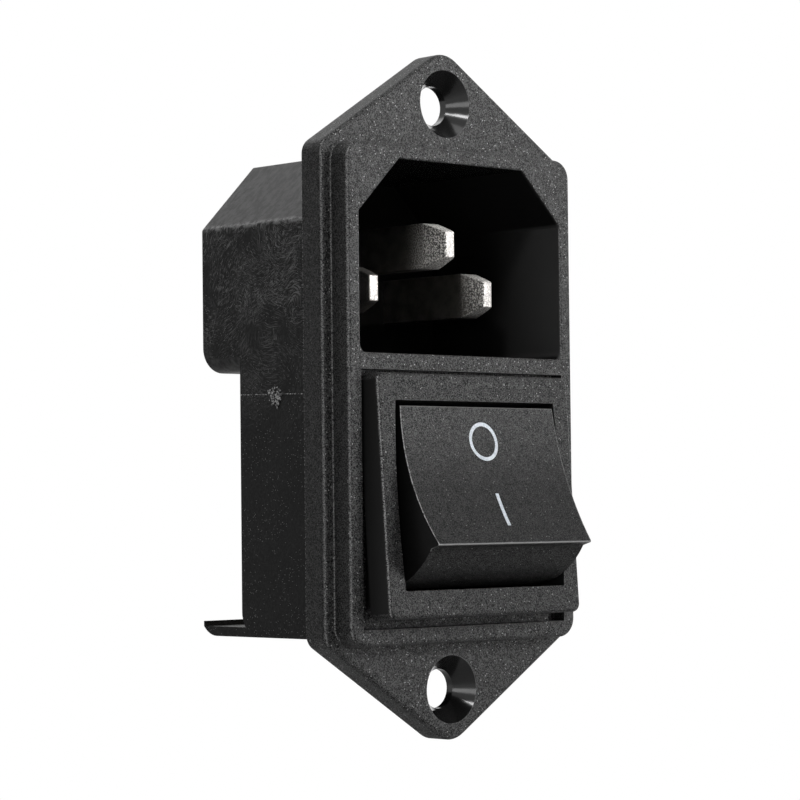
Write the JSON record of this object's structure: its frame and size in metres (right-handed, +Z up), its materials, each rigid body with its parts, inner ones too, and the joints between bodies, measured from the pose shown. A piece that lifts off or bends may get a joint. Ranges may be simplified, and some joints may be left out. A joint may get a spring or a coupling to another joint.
{
  "type": "iec appliance inlet with rocker switch",
  "caption": "Panel-mounted three-pin mains appliance inlet in one black moulding with a leaning rocker switch below it, screwed through a hexagonal flange.",
  "frame": {"origin": "on the mounting face, the back of the flange, midway between the two screw holes", "axes": "+X to the right seen from the front, +Y back into the appliance, +Z up"},
  "size_m": [0.0296, 0.0323, 0.0606],
  "materials": {
    "housing_black": "glass-filled, spark-eroded texture",
    "switch_black": "spark-eroded texture",
    "rocker_black": "fine spark-eroded texture",
    "pin_nickel": "nickel-plated brass, satin",
    "terminal_brass": "plain sheet",
    "lever_copper": "plain copper strip",
    "contact_silver": "silver alloy",
    "plunger_nylon": "smooth",
    "spring_steel": "drawn wire",
    "marking_ink": "pad print"
  },
  "bodies": {
    "housing": {"inlet_housing": "housing_black", "earth_pin": "pin_nickel", "live_pin": "pin_nickel", "neutral_pin": "pin_nickel", "switch_housing": "switch_black", "centre_terminal_left": "terminal_brass", "end_terminal_left": "terminal_brass", "fixed_rivet_left": "contact_silver", "centre_terminal_right": "terminal_brass", "end_terminal_right": "terminal_brass", "fixed_rivet_right": "contact_silver"},
    "rocker": {"rocker": "rocker_black", "plunger_spring_left": "spring_steel", "plunger_spring_right": "spring_steel"},
    "plunger_left": {"plunger_left": "plunger_nylon"},
    "lever_left": {"contact_lever_left": "lever_copper", "lever_rivet_left": "contact_silver"},
    "plunger_right": {"plunger_right": "plunger_nylon"},
    "lever_right": {"contact_lever_right": "lever_copper", "lever_rivet_right": "contact_silver"}
  },
  "joints": [
    {"name": "rocker_swing", "type": "hinge", "parent": "housing", "child": "rocker", "pos_m": [0, -0.00323, -0.0091], "axis": [1, 0, 0], "range_deg": [0, 35]},
    {"name": "plunger_left_slide", "type": "slide", "parent": "rocker", "child": "plunger_left", "axis": [0, -0.9311, 0.3649], "range_m": [0, 0.0006], "stiffness_N_per_m": 400, "deforming": ["plunger_spring_left"]},
    {"name": "lever_left_rock", "type": "hinge", "parent": "housing", "child": "lever_left", "pos_m": [-0.005, 0.00475, -0.00964], "axis": [1, 0, 0], "range_deg": [-16, 0]},
    {"name": "plunger_right_slide", "type": "slide", "parent": "rocker", "child": "plunger_right", "axis": [0, -0.9311, 0.3649], "range_m": [0, 0.0006], "stiffness_N_per_m": 400, "deforming": ["plunger_spring_right"]},
    {"name": "lever_right_rock", "type": "hinge", "parent": "housing", "child": "lever_right", "pos_m": [0.005, 0.00475, -0.00964], "axis": [1, 0, 0], "range_deg": [-16, 0]}
  ],
  "couplings": [
    {"joint": "lever_left_rock", "follows": "rocker_swing", "ratio": -0.45714},
    {"joint": "lever_right_rock", "follows": "rocker_swing", "ratio": -0.45714}
  ]
}
